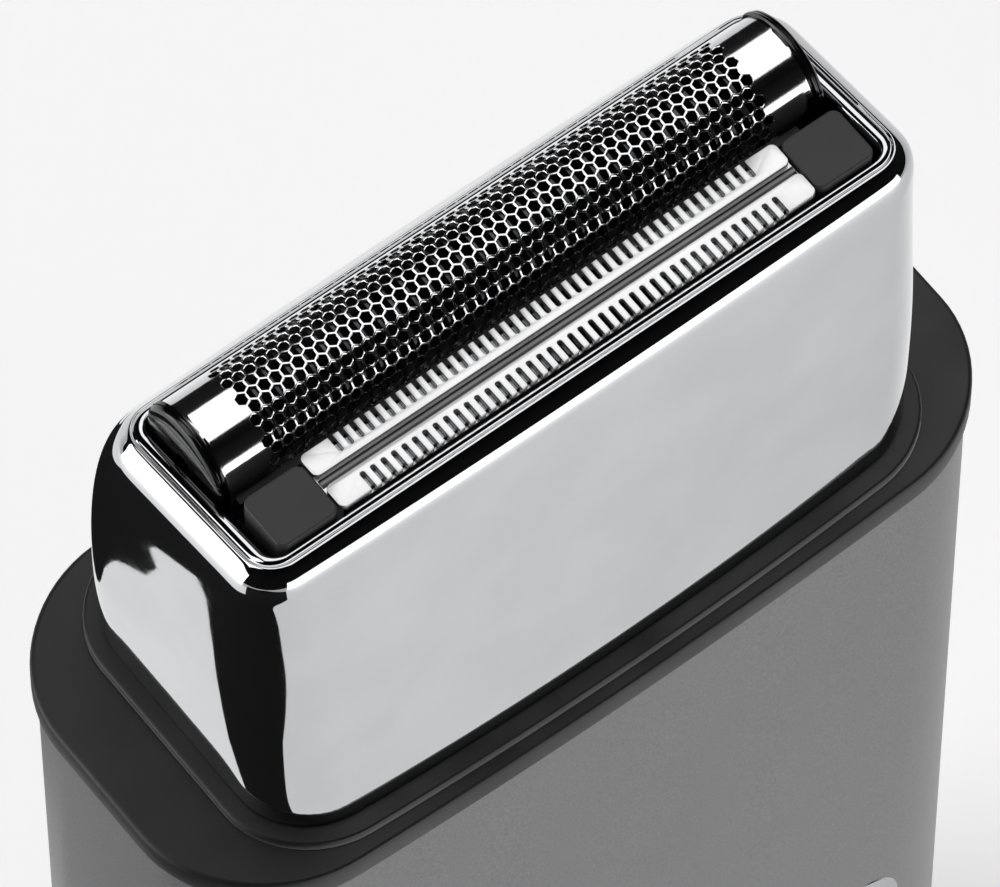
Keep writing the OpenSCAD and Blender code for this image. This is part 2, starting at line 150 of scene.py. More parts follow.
class StudioSettings(bpy.types.PropertyGroup):
    """Camera and lights"""

    lens: FloatProperty(
        name="Lens", description="Focal length", default=418.4, unit="CAMERA"
    )
    overhead: power("Overhead softbox", 4.0)
    side: power("Side softbox", 0.7)
    side_high: power("High side softbox", 1.4)
    front_strip: power("Front strip", 0.7)


# ---------------------------------------------------------------- modelling


def clear():
    """Back to object mode with nothing selected."""
    if bpy.context.object and bpy.context.object.mode != "OBJECT":
        bpy.ops.object.mode_set(mode="OBJECT")
    bpy.ops.object.select_all(action="DESELECT")


def activate(obj):
    clear()
    obj.select_set(True)
    bpy.context.view_layer.objects.active = obj


def edit(obj):
    """Opens a piece in edit mode with nothing selected."""
    activate(obj)
    bpy.ops.object.mode_set(mode="EDIT")
    bpy.ops.mesh.select_mode(type="VERT")
    bpy.ops.mesh.select_all(action="DESELECT")


def pick(kind, test):
    """Selects the vertices, edges or faces of the open piece whose middle and
    normal pass the test."""
    bpy.ops.mesh.select_mode(type=kind)
    bpy.ops.mesh.select_all(action="DESELECT")
    mesh = bpy.context.edit_object.data
    opened = bmesh.from_edit_mesh(mesh)
    if kind == "VERT":
        for v in opened.verts:
            if not v.hide and test(v.co, v.normal):
                v.select_set(True)
    elif kind == "EDGE":
        for e in opened.edges:
            a, b = e.verts
            if test((a.co + b.co) / 2, (b.co - a.co).normalized()):
                e.select_set(True)
    else:
        for f in opened.faces:
            if test(f.calc_center_median(), f.normal):
                f.select_set(True)
    opened.select_flush_mode()
    bmesh.update_edit_mesh(mesh)


def pick_all():
    bpy.ops.mesh.select_all(action="SELECT")


def turn(angle, centre):
    """Turns what is selected about a line along X."""
    bpy.ops.transform.rotate(value=angle, orient_axis="X", center_override=centre)


def move(offset):
    bpy.ops.transform.translate(value=offset)


def resize(factors, centre):
    bpy.ops.transform.resize(value=factors, center_override=centre)


def extrude(offset):
    bpy.ops.mesh.extrude_region_move(TRANSFORM_OT_translate={"value": offset})


def settle(obj, name):
    """Names a piece and puts its place in its mesh."""
    activate(obj)
    bpy.ops.object.transform_apply(location=True, rotation=True, scale=True)
    obj.name = name
    obj.data.name = name
    return obj


def applied(obj, kind, **settings):
    """Adds a modifier and applies it."""
    activate(obj)
    modifier = obj.modifiers.new(kind.title(), kind)
    for key, value in settings.items():
        setattr(modifier, key, value)
    bpy.ops.object.modifier_apply(modifier=modifier.name)
    return obj


def bevelled(obj, width, segments, angle):
    """Rounds the edges that turn by more than an angle in degrees."""
    return applied(
        obj, "BEVEL", width=width, segments=segments, limit_method="ANGLE",
        angle_limit=math.radians(angle),
    )


def smooth(obj, angle=35.0):
    activate(obj)
    bpy.ops.object.shade_smooth_by_angle(angle=math.radians(angle))
    return obj


def outward(obj):
    edit(obj)
    pick_all()
    bpy.ops.mesh.remove_doubles(threshold=0.001 * MM)
    bpy.ops.mesh.normals_make_consistent(inside=False)
    clear()
    return obj


def plate(name, x0, x1, y0, y1, z, radius, segments=10):
    """A flat rounded rectangle, left open in edit mode."""
    clear()
    bpy.ops.mesh.primitive_plane_add(size=1, location=(0, 0, 0))
    obj = bpy.context.object
    obj.name = name
    edit(obj)
    pick_all()
    resize((x1 - x0, y1 - y0, 1), (0, 0, 0))
    move(((x0 + x1) / 2, (y0 + y1) / 2, z))
    if radius:
        bpy.ops.mesh.bevel(offset=radius, segments=segments, affect="VERTICES")
    return obj


def columns(z, eps=0.02 * MM):
    """The distances from the middle, along X, of the open piece's points at z."""
    opened = bmesh.from_edit_mesh(bpy.context.edit_object.data)
    return sorted({round(abs(v.co.x), 6) for v in opened.verts if abs(v.co.z - z) < eps})


def bow_ring(z, width, depth, middle, start, end):
    """Bows the long sides of the ring of points at z, from one bulge to another."""
    for x in columns(z):
        reach = (2 * x / width) ** 2
        factor = (1 - 2 * end / depth * reach) / (1 - 2 * start / depth * reach)
        if abs(factor - 1) < 1e-6:
            continue
        pick(
            "VERT",
            lambda co, n: abs(co.z - z) < 0.02 * MM and abs(abs(co.x) - x) < 2e-6,
        )
        resize((1, factor, 1), (0, middle, z))


def divide_long_sides(z, cuts):
    """Adds points along the front and back edges of the ring at z."""
    pick(
        "EDGE",
        lambda co, d: abs(co.z - z) < 0.02 * MM
        and abs(d.x) > 0.99
        and abs(co.x) < 0.01 * MM,
    )
    bpy.ops.mesh.subdivide(number_cuts=cuts)


def case_outline(name, x_half, y_half, z, radius, bow, segments=14, cuts=15):
    """The bowed outline shared by the case, the base and the collar."""
    obj = plate(name, -x_half, x_half, -y_half, y_half, z, radius, segments)
    divide_long_sides(z, cuts)
    bow_ring(z, 2 * x_half, 2 * y_half, 0, 0, bow)
    pick_all()
    return obj


def cut(obj, *tools):
    """Takes shapes away from a piece."""
    for tool in tools:
        outward(tool)
        applied(obj, "BOOLEAN", object=tool, operation="DIFFERENCE", solver="EXACT")
        bpy.data.objects.remove(tool)
    return obj


def raised(obj, height):
    """Extrudes the open outline upwards into a closed piece."""
    extrude((0, 0, height))
    clear()
    return outward(obj)


def block(name, x0, x1, y0, y1, z0, z1, radius=0.0, segments=8):
    """A rounded upright block in place, closed."""
    obj = plate(name, x0, x1, y0, y1, z0, radius, segments)
    pick_all()
    return raised(obj, z1 - z0)


def rod(name, x, y, z, radius, length, along="Z", sides=32):
    """A round bar in place, centred on x, y, z."""
    clear()
    turn = {"Z": (0, 0, 0), "Y": (HALF_PI, 0, 0), "X": (0, HALF_PI, 0)}[along]
    bpy.ops.mesh.primitive_cylinder_add(
        vertices=sides, radius=radius, depth=length, location=(x, y, z), rotation=turn
    )
    obj = bpy.context.object
    return settle(obj, name)


def joined(name, *parts):
    clear()
    for part in parts:
        part.select_set(True)
    bpy.context.view_layer.objects.active = parts[0]
    bpy.ops.object.join()
    return settle(bpy.context.object, name)


def mirrored_copy(obj, name):
    """The same piece on the other side, with its own mesh."""
    activate(obj)
    bpy.ops.object.duplicate(linked=False)
    twin = bpy.context.object
    twin.scale = (-1, 1, 1)
    settle(twin, name)
    return outward(twin)


def place(obj, body, slot, finish, *nodes):
    """Hands a finished piece to the frame with its body and material. The slot is not used.
    """
    obj.data.materials.clear()
    obj.data.materials.append(finish)
    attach(obj, body)
    if nodes:
        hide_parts(*nodes)
    clear()
    return obj


# ---------------------------------------------------------------- finishes


def shade(colour):
    """A colour from its hex value, or from its name in the panel."""
    if colour.startswith("#"):
        return linear(colour)
    return getattr(bpy.context.scene.shaver_colours, colour)


def add_node(tree, kind, links=None, **settings):
    """One shader node with its settings, socket values and incoming links."""
    node = tree.nodes.new(kind)
    for key, value in settings.items():
        if hasattr(node, key):
            setattr(node, key, value)
    for key, value in (links or {}).items():
        if isinstance(value, bpy.types.NodeSocket):
            tree.links.new(value, node.inputs[key])
        else:
            node.inputs[key].default_value = value
    return node


def surface(name, **sockets):
    """A material with one Principled shader, and the coordinates its patterns use."""
    material = bpy.data.materials.new(name)
    material.use_nodes = True
    tree = material.node_tree
    tree.nodes.clear()
    shader = add_node(tree, "ShaderNodeBsdfPrincipled", sockets)
    add_node(tree, "ShaderNodeOutputMaterial", {"Surface": shader.outputs[0]})
    coords = add_node(tree, "ShaderNodeTexCoord").outputs["Object"]
    return material, tree, shader, coords


def stretched(tree, coords, stretch):
    """Coordinates drawn out along an axis, for brushed and drawn metal."""
    return add_node(
        tree, "ShaderNodeMapping", {"Vector": coords, "Scale": stretch}
    ).outputs[0]


def noise(tree, coords, size, detail=3.0, rough=0.55):
    """Noise whose features are about `size` metres across."""
    return add_node(
        tree,
        "ShaderNodeTexNoise",
        {"Vector": coords, "Scale": 1 / size, "Detail": detail, "Roughness": rough},
    ).outputs["Fac"]


def spread(tree, factor, low, high, start=0.3, end=0.7):
    """A pattern turned into a range of numbers."""
    return add_node(
        tree,
        "ShaderNodeMapRange",
        {
            "Value": factor,
            "From Min": start,
            "From Max": end,
            "To Min": low,
            "To Max": high,
        },
    ).outputs[0]


def blend_colour(tree, factor, first, second):
    node = add_node(tree, "ShaderNodeMix", data_type="RGBA")
    tree.links.new(factor, node.inputs[0])
    for socket, value in ((6, first), (7, second)):
        if isinstance(value, bpy.types.NodeSocket):
            tree.links.new(value, node.inputs[socket])
        else:
            node.inputs[socket].default_value = value
    return node.outputs[2]


def bump(tree, height, depth, strength=1.0, under=None):
    """Relief `depth` metres deep, laid over another relief if there is one."""
    links = {"Height": height, "Distance": depth, "Strength": strength}
    if under is not None:
        links["Normal"] = under
    return add_node(tree, "ShaderNodeBump", links).outputs[0]


def moulded(name, light, dark, rough, grain, depth, sheen=0.0):
    """Moulded plastic: a fine grain, and a slow drift in shade and gloss."""
    material, tree, shader, coords = surface(
        name, **{"Roughness": 0.5, "Sheen Weight": sheen, "IOR": 1.48}
    )
    fine = noise(tree, coords, grain, 2.0)
    broad = noise(tree, coords, 9 * MM, 3.0)
    tree.links.new(
        blend_colour(tree, spread(tree, broad, 0, 1), linear(dark), shade(light)),
        shader.inputs["Base Color"],
    )
    tree.links.new(spread(tree, broad, *rough), shader.inputs["Roughness"])
    tree.links.new(bump(tree, fine, depth), shader.inputs["Normal"])
    return material


def metal(name, light, dark, rough, draw, line, depth, uneven=0.0):
    """Worked metal: fine lines drawn along the tool's path, a drift in gloss from
    handling, and where asked a slow unevenness of the sheet."""
    material, tree, shader, coords = surface(name, **{"Metallic": 1.0})
    lines = noise(tree, stretched(tree, coords, draw), line, 3.0, 0.6)
    broad = noise(tree, coords, 6 * MM, 2.0)
    tree.links.new(
        blend_colour(tree, spread(tree, broad, 0, 1), linear(dark), shade(light)),
        shader.inputs["Base Color"],
    )
    tree.links.new(spread(tree, lines, *rough), shader.inputs["Roughness"])
    relief = bump(tree, lines, depth)
    if uneven:
        relief = bump(tree, noise(tree, coords, 7 * MM, 1.0), uneven, under=relief)
    tree.links.new(relief, shader.inputs["Normal"])
    return material


# Metals: slot, name, light and dark colour, roughness, stretch of the tool's lines
# along X, Y and Z, then the lines' width in mm and depth in micrometres. A light
# colour without a hex value is one that the panel sets.
METALS = (
    # thin bars that catch the light between the holes
    ("foil_nickel", "electroformed_nickel_foil", "foil", "#dcdcde", (0.06, 0.16),
     (1, 6, 6), 0.2, 0.6),
    # an even satin white with fine lines along the bars
    ("guard_steel", "ground_stainless_trimmer", "guard", "#d2d2d2", (0.3, 0.42),
     (0.15, 1, 1), 0.05, 1.5),
    # a darker satin behind the guard's slots
    ("blade_steel", "ground_blade_steel", "#a9abae", "#8d8f92", (0.2, 0.34),
     (0.1, 1, 1), 0.06, 1.5),
    # dull steel, darkened with painted shade, for the cutter edges seen through the foil's
    # holes
    ("cutter_steel", "cutter_steel_painted_shade", "#4a4b4d", "#3a3b3d", (0.3, 0.42),
     (1, 1, 0.2), 0.08, 1.5),
    # mid-grey steel between the trimmer's bars: painted shade of the groove darkens it, and
    # it shows as a soft highlight
    ("rib_grey", "satin_rib_painted_groove_shade", "#6a6a6b", "#5c5c5d", (0.3, 0.4),
     (0.1, 1, 1), 0.06, 1.0),
    # a pale plate with a brushed sheen from side to side
    ("panel_silver", "brushed_anodised_panel", "#c7c8ca", "#bbbcbe", (0.3, 0.42),
     (0.03, 1, 1), 0.07, 2.0),
    # slightly cloudy grey heads
    ("screw_steel", "zinc_plated_screw", "#a7a9ad", "#8e9094", (0.2, 0.36),
     (1, 1, 1), 0.2, 2.0),
    # a spangled, dull plate
    ("zinc_plate", "zinc_plated_bracket", "#aeb1b4", "#979a9e", (0.25, 0.42),
     (1, 1, 1), 0.6, 3.0),
    # draw marks up the can's side
    ("motor_steel", "drawn_motor_can", "#b4b6b9", "#9d9fa2", (0.22, 0.36),
     (1, 1, 0.05), 0.1, 2.0),
    # bright, with marks along the rod
    ("rod_steel", "polished_guide_rod", "#c6c8ca", "#b2b4b6", (0.1, 0.18),
     (0.05, 1, 1), 0.06, 0.8),
    # bright round wire
    ("spring_steel", "drawn_spring_wire", "#b0b2b5", "#989a9d", (0.18, 0.3),
     (1, 1, 1), 0.1, 1.0),
    # a warm grey strip
    ("contact_nickel", "nickel_battery_contact", "#c9c5bb", "#b5b1a7", (0.2, 0.32),
     (1, 0.1, 1), 0.1, 1.0),
    # porous yellow metal with little shine
    ("bush_brass", "sintered_brass_bush", "#b58a4a", "#96703a", (0.32, 0.46),
     (1, 1, 1), 0.15, 4.0),
)
# Mouldings: slot, name, light and dark colour, roughness, then the grain's size in
# mm and depth in micrometres.
MOULDINGS = (
    # deep black with sharp highlights on its ridges
    ("arch_black", "gloss_black_moulding", "arch", "#070708", (0.12, 0.2), 0.2, 0.6),
    # flat charcoal with a fine even grain
    ("block_grey", "spark_eroded_charcoal_plastic", "block", "#303030", (0.5, 0.62),
     0.09, 7.0),
    # near black with a soft highlight on its edge
    ("collar_black", "matt_black_polycarbonate", "collar", "#0f0f10", (0.42, 0.55),
     0.14, 5.0),
    # the same, a little coarser
    ("base_black", "matt_black_base_moulding", "#1c1c1d", "#151516", (0.45, 0.6),
     0.16, 6.0),
    # waxy black
    ("head_black", "black_acetal_frame", "#131314", "#0e0e0f", (0.35, 0.45), 0.2, 3.0),
    # smoother, so that the dish shows
    ("button_black", "satin_black_button", "#151516", "#101011", (0.28, 0.36),
     0.12, 3.0),
    # plain dull black
    ("switch_black", "black_nylon_switch", "#111112", "#0c0c0d", (0.4, 0.5), 0.2, 3.0),
    ("jack_black", "black_socket_nylon", "#121213", "#0c0c0d", (0.4, 0.5), 0.2, 3.0),
    # fibre-filled grey, rough and dry
    ("chassis_plastic", "grey_glass_filled_nylon", "#5b5d60", "#4d4f52", (0.5, 0.65),
     0.25, 9.0),
    # creamy white with a soft gloss
    ("drive_acetal", "white_acetal_drive", "#d9d9d2", "#cbcbc4", (0.35, 0.45),
     0.25, 3.0),
    # tight blue film, slightly wavy
    ("cell_sleeve", "shrink_film_cell_sleeve", "#2f6f8f", "#2a6684", (0.22, 0.32),
     1.2, 12.0),
)


def make_finishes():
    """Every finish on the shaver, by the record's slot name."""
    made = {}
    for slot, name, light, dark, rough, draw, line, depth in METALS:
        made[slot] = metal(name, light, dark, rough, draw, line * MM, depth * MICRON)
    for slot, name, light, dark, rough, grain, depth in MOULDINGS:
        made[slot] = moulded(name, light, dark, rough, grain * MM, depth * MICRON)
    # decorative plating: a near mirror with faint haze, and slow waves in what it
    # mirrors
    made["head_chrome"] = metal(
        "bright_chromium_plate", "head", "#c3c4c6", (0.02, 0.05), (1, 1, 1),
        0.5 * MM, 0.2 * MICRON, uneven=12 * MICRON,
    )
    # soft seal: dry black with a faint bloom at grazing angles
    made["seal_rubber"] = moulded(
        "soft_black_silicone_seal", "#171717", "#101010", (0.7, 0.85), 0.3 * MM,
        6 * MICRON, 0.2,
    )
    made["case_grey"] = case_paint()
    made["board_green"] = board_laminate()
    made["light_clear"] = light_window()
    return made


def case_paint():
    """Satin metallic paint: a fine mottled flake under a soft clear coat."""
    material, tree, shader, coords = surface(
        "satin_grey_metallic_paint",
        **{
            "Metallic": 0.35,
            "Roughness": 0.42,
            "Coat Weight": 0.25,
            "Coat Roughness": 0.3,
        },
    )
    flake = noise(tree, coords, 0.16 * MM, 2.0, 0.7)
    cloud = noise(tree, coords, 14 * MM, 2.0)
    flecked = blend_colour(
        tree, spread(tree, flake, 0, 1, 0.25, 0.75), shade("case"), shade("case_flake")
    )
    clouded = blend_colour(
        tree, spread(tree, cloud, 0, 0.25), flecked, linear("#6d6d6e")
    )
    tree.links.new(clouded, shader.inputs["Base Color"])
    tree.links.new(spread(tree, flake, 0.4, 0.52), shader.inputs["Roughness"])
    ripple = noise(tree, coords, 0.5 * MM, 2.0)
    tree.links.new(bump(tree, ripple, 4 * MICRON), shader.inputs["Normal"])
    return material


def board_laminate():
    """Green solder mask with the copper tracks showing as a paler, raised pattern."""
    material, tree, shader, coords = surface(
        "green_solder_mask_board", **{"Roughness": 0.3, "Coat Weight": 0.3}
    )
    tracks = add_node(
        tree,
        "ShaderNodeTexBrick",
        {"Vector": stretched(tree, coords, (1, 1, 1)), "Scale": 160.0},
        offset=0.37,
    ).outputs["Fac"]
    tree.links.new(
        blend_colour(tree, tracks, linear("#1f5a34"), linear("#2f7a49")),
        shader.inputs["Base Color"],
    )
    tree.links.new(bump(tree, tracks, 30 * MICRON), shader.inputs["Normal"])
    return material


def light_window():
    """Clear polycarbonate light pipe with a faintly frosted core."""
    material, tree, shader, coords = surface(
        "frosted_light_pipe",
        **{"Transmission Weight": 0.6, "IOR": 1.58, "Roughness": 0.2},
    )
    frost = noise(tree, coords, 0.3 * MM, 2.0)
    tree.links.new(
        blend_colour(tree, frost, linear("#e8eef2"), linear("#cfd8de")),
        shader.inputs["Base Color"],
    )
    tree.links.new(spread(tree, frost, 0.12, 0.3), shader.inputs["Roughness"])
    return material


FINISH = {}


def finish(slot):
    if not FINISH:
        FINISH.update(make_finishes())
    return FINISH[slot]


def sizes():
    return bpy.context.scene.shaver_sizes


# ---------------------------------------------------------------- the head cap


class SHAVER_OT_head_cap(bpy.types.Operator):
    """Bright plated cap, drawn in to a rolled shoulder and a thin rim"""

    bl_idname = "shaver.head_cap"
    bl_label = "Head cap"

    def ring(self, old, new):
        """Lifts the open top ring to a new outline. A ring is height, half width,
        front, back, corner radius and bow."""
        z0, w0, f0, b0, r0, bow0 = old
        z1, w1, f1, b1, r1, bow1 = new
        extrude((0, 0, z1 - z0))
        mid0, mid1 = (f0 + b0) / 2, (f1 + b1) / 2
        bow_ring(z1, 2 * w0, b0 - f0, mid0, bow0, 0)
        for sx in (-1, 1):
            for y0, y1, sy in ((f0, f1, 1), (b0, b1, -1)):
                c0 = Vector((sx * (w0 - r0), y0 + sy * r0, z1))
                c1 = Vector((sx * (w1 - r1), y1 + sy * r1, z1))
                pick(
                    "VERT",
                    lambda co, n: abs(co.z - z1) < 0.002 * MM
                    and (co.x - c0.x) * sx > -0.002 * MM
                    and (c0.y - co.y) * sy > -0.002 * MM,
                )
                resize((r1 / r0, r1 / r0, 1), c0)
                move(c1 - c0)
        span0, span1 = w0 - r0, w1 - r1
        for y0, y1 in ((f0, f1), (b0, b1)):
            pick(
                "VERT",
                lambda co, n: abs(co.z - z1) < 0.002 * MM
                and abs(co.x) < min(span0, span1) - 0.05 * MM
                and abs(co.y - y0) < 0.01 * MM,
            )
            move((0, y1 - y0, 0))
            resize((span1 / span0, 1, 1), (0, y1, z1))
        deep0, deep1 = (b0 - f0) / 2 - r0, (b1 - f1) / 2 - r1
        for sx in (-1, 1):
            pick(
                "VERT",
                lambda co, n: abs(co.z - z1) < 0.002 * MM
                and abs(co.x - sx * w0) < 0.01 * MM
                and abs(co.y - mid0) < min(deep0, deep1) - 0.05 * MM,
            )
            move((sx * (w1 - w0), mid1 - mid0, 0))
            resize((1, deep1 / deep0, 1), (sx * w1, mid1, z1))
        bow_ring(z1, 2 * w1, b1 - f1, mid1, 0, bow1)
        pick("FACE", lambda co, n: abs(co.z - z1) < 0.002 * MM and abs(n.z) > 0.9)

    def execute(self, context):
        lo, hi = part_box("head_cap")
        foot, w, d = lo.z, hi.x, hi.y

        def ring(height, in_x, in_front, in_back, radius, bow, fall):
            """A ring in millimetres: its height, its distance in from the frame's
            box, its corner radius and bow, and how much of the rim's slope it has."""
            outline = (
                foot + height * MM, w - in_x * MM, -d + in_front * MM,
                d - in_back * MM, radius * MM, bow * MM,
            )
            return outline, fall

        rings = [
            # rolled foot with a short flare
            ring(0.0, 0.85, 0.3, 0.3, 4.9, 1.0, 0.0),
            ring(0.25, 0.58, 0.02, 0.02, 5.2, 1.0, 0.0),
            ring(1.4, 0.55, 0.22, 0.15, 5.1, 1.0, 0.0),
            ring(3.2, 0.38, 0.4, 0.3, 5.1, 0.95, 0.0),
            # long walls, leaning in at the front and more at the back
            ring(8.0, 0.08, 0.62, 0.5, 5.1, 0.85, 0.0),
            ring(13.0, 0.0, 0.9, 0.85, 5.0, 0.7, 0.0),
            ring(17.5, 0.04, 1.25, 1.45, 4.9, 0.6, 0.0),
            ring(21.0, 0.12, 1.6, 2.25, 4.6, 0.5, 0.15),
            ring(24.0, 0.24, 1.9, 3.1, 4.2, 0.4, 0.4),
            ring(26.2, 0.4, 2.12, 3.9, 3.8, 0.3, 0.66),
            # crease, then the sloping end band
            ring(27.1, 0.48, 2.24, 4.3, 3.5, 0.22, 0.78),
            ring(27.8, 0.58, 2.36, 4.55, 3.3, 0.2, 0.86),
            ring(28.35, 0.74, 2.56, 4.75, 3.1, 0.16, 0.92),
            ring(28.75, 0.98, 2.84, 4.95, 2.9, 0.1, 0.96),
            # rounded shoulder
            ring(29.1, 1.28, 3.2, 5.16, 2.6, 0.04, 1.0),
            ring(29.38, 1.58, 3.56, 5.34, 2.3, 0.0, 1.0),
            ring(29.52, 1.8, 3.76, 5.5, 2.1, 0.0, 1.0),
            # groove and flat rim strip
            ring(29.28, 1.92, 3.98, 5.62, 1.9, 0.0, 1.0),
            ring(29.55, 2.04, 4.2, 5.74, 1.8, 0.0, 1.0),
            ring(29.6, 2.9, 4.46, 6.18, 1.1, 0.0, 1.0),
        ]
        (z, x, front, back, radius, bow), _ = rings[0]
        cap = plate("head_cap_shell", -x, x, front, back, z, radius, 8)
        divide_long_sides(z, 15)
        pick(
            "EDGE",
            lambda co, direction: abs(direction.y) > 0.99 and abs(co.y) < 0.1 * MM,
        )
        bpy.ops.mesh.subdivide(number_cuts=5)
        bow_ring(z, 2 * x, back - front, (front + back) / 2, 0, bow)
        pick("FACE", lambda co, n: True)
        for (old, _), (new, _) in zip(rings, rings[1:]):
            self.ring(old, new)
        bpy.ops.mesh.delete(type="FACE")
        pick("FACE", lambda co, n: abs(co.z - foot) < 0.002 * MM and abs(n.z) > 0.9)
        bpy.ops.mesh.delete(type="FACE")
        self.slope(rings)
        outward(cap)
        applied(cap, "SOLIDIFY", thickness=0.8 * MM, offset=-1, use_even_offset=False)
        applied(cap, "SUBSURF", levels=2, render_levels=2)
        activate(cap)
        bpy.ops.object.shade_smooth()
        place(cap, "head", "head_chrome", finish("head_chrome"), "head_cap")
        return {"FINISHED"}

    def slope(self, rings):
        """Tips the upper rings about the front of the rim, so that the rim falls
        towards the back. Each ring is hidden once it has turned."""
        full, pivot = math.radians(9.3), -8.0 * MM
        for (z, *_), fall in reversed(rings):
            if not fall:
                continue
            pick("VERT", lambda co, n: abs(co.z - z) < 0.002 * MM)
            opened = bmesh.from_edit_mesh(bpy.context.edit_object.data)
            probe = max((v for v in opened.verts if v.select), key=lambda v: v.co.y)
            before = probe.co.z
            turn(full * fall, (0, pivot, z))
            if probe.co.z > before:
                turn(-2 * full * fall, (0, pivot, z))
            bpy.ops.mesh.hide(unselected=False)
        bpy.ops.mesh.reveal(select=False)


# ---------------------------------------------------------------- the foil


class SHAVER_OT_foil(bpy.types.Operator):
    """Perforated nickel foil, bent over the cutter, with its two end arches"""

    bl_idname = "shaver.foil"
    bl_label = "Foil and end arches"

    def sheet(self, s):
        """The flat perforated sheet, X along the foil and Y along the bend."""
        pitch = s.hole_pitch
        row = pitch * math.sqrt(3) / 2
        clear()
        bpy.ops.mesh.primitive_circle_add(
            vertices=6, radius=pitch / math.sqrt(3), fill_type="NGON", location=(0, 0, 0)
        )
        sheet = settle(bpy.context.object, "foil_sheet")
        merge = {
            "use_relative_offset": False,
            "use_constant_offset": True,
            "use_merge_vertices": True,
            "merge_threshold": 0.01 * MM,
        }
        applied(
            sheet, "ARRAY", count=s.holes_in_row,
            constant_offset_displace=(pitch, 0, 0), **merge,
        )
        applied(
            sheet, "ARRAY", count=2, constant_offset_displace=(pitch / 2, row, 0), **merge
        )
        applied(
            sheet, "ARRAY", count=s.hole_rows // 2,
            constant_offset_displace=(0, 2 * row, 0), **merge,
        )
        edit(sheet)
        pick_all()
        move((-(s.holes_in_row - 0.5) * pitch / 2, -(s.hole_rows - 1) * row / 2, 0))
        return sheet

    def execute(self, context):
        s = sizes()
        lo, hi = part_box("foil")
        radius = (hi.y - lo.y) / 2
        middle = (hi.y + lo.y) / 2
        sheet = self.sheet(s)
        wall = 0.12 * MM
        half_x = hi.x + 0.85 * MM
        half_s = (s.hole_rows * math.sqrt(3) / 4 + 0.3) * s.hole_pitch
        bpy.ops.mesh.select_mode(type="EDGE")
        bpy.ops.mesh.region_to_loop()
        extrude((0, 0, 0))
        opened = bmesh.from_edit_mesh(sheet.data)
        rim = {v.index for v in opened.verts if v.select}
        lattice_x = max(abs(v.co.x) for v in opened.verts)
        reach_x = lattice_x - 0.9 * s.hole_pitch
        margin_x = lattice_x + 0.1 * s.hole_pitch
        reach_s = max(abs(v.co.y) for v in opened.verts) - 0.3 * s.hole_pitch

        def side(axis, sign, limit, edge):
            """Draws one side of the rim out to a straight edge."""
            bpy.ops.mesh.select_all(action="DESELECT")
            bpy.ops.mesh.select_mode(type="VERT")
            now = bmesh.from_edit_mesh(sheet.data)
            now.verts.ensure_lookup_table()
            for i in rim:
                if now.verts[i].co[axis] * sign > limit:
                    now.verts[i].select_set(True)
            bmesh.update_edit_mesh(sheet.data)
            factors, centre = [1, 1, 1], [0, 0, 0]
            factors[axis], centre[axis] = 0, sign * edge
            resize(factors, centre)

        for sign in (-1, 1):
            side(0, sign, reach_x, margin_x)
        for sign in (-1, 1):
            side(1, sign, reach_s, half_s)
        pick_all()
        bpy.ops.mesh.remove_doubles(threshold=0.005 * MM)
        for sign in (-1, 1):
            pick(
                "EDGE",
                lambda co, d: abs(co.x - sign * margin_x) < 0.01 * MM and abs(d.y) > 0.9,
            )
            extrude((sign * 0.25 * MM, 0, 0))
            extrude((sign * (half_x - margin_x - 0.5 * MM), 0, 0))
            extrude((sign * 0.25 * MM, 0, 0))
        bpy.ops.mesh.select_mode(type="FACE")
        opened = bmesh.from_edit_mesh(sheet.data)
        for f in opened.faces:
            f.select_set(len(f.verts) == 6 and f.calc_area() < s.hole_pitch**2)
        opened.select_flush_mode()
        bmesh.update_edit_mesh(sheet.data)
        bpy.ops.mesh.inset(
            thickness=s.hole_bar / 2, use_individual=True, use_even_offset=True
        )
        bpy.ops.mesh.delete(type="FACE")
        pick_all()
        turn(HALF_PI, (0, 0, 0))
        clear()
        applied(
            sheet, "SIMPLE_DEFORM", deform_method="BEND", deform_axis="X",
            angle=2 * half_s / (radius - wall),
        )
        foil = settle(sheet, "foil_perforated")
        # stand the arch on its two edges, crown up
        for _ in range(4):
            low, high = self.extent(foil)
            crown = [v.co.z for v in foil.data.vertices if abs(v.co.y) < 0.4 * MM]
            if crown and min(crown) > (low.z + high.z) / 2:
                break
            edit(foil)
            pick_all()
            turn(HALF_PI, (0, 0, 0))
            clear()
        edit(foil)
        pick_all()
        move((0, middle - (low.y + high.y) / 2, hi.z - wall - high.z))
        clear()
        low, high = self.extent(foil)
        foot = low.z
        edit(foil)
        pick("EDGE", lambda co, d: abs(co.z - foot) < 0.03 * MM and abs(d.x) > 0.5)
        extrude((0, 0, lo.z - foot))
        clear()
        outward(foil)
        applied(foil, "SOLIDIFY", thickness=wall, offset=1, use_even_offset=False)
        bevelled(foil, 0.04 * MM, 1, 50)
        smooth(foil, 45)
        place(foil, "cassette", "foil_nickel", finish("foil_nickel"), "foil")
        left = self.arch()
        right = mirrored_copy(left, "foil_end_arch_right")
        smooth(right, 40)
        place(left, "cassette", "arch_black", finish("arch_black"), "foil_end_left")
        place(right, "cassette", "arch_black", finish("arch_black"), "foil_end_right")
        return {"FINISHED"}

    def extent(self, obj):
        points = [v.co for v in obj.data.vertices]
        return (
            Vector(min(p[i] for p in points) for i in range(3)),
            Vector(max(p[i] for p in points) for i in range(3)),
        )

    def arch(self):
        """A half barrel: the section is spun over the foil's end, then its two
        feet run down to the cassette."""
        lo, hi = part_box("foil_end_left")
        middle = (lo.y + hi.y) / 2
        outer = (hi.y - lo.y) / 2
        crown = hi.z - outer
        clear()
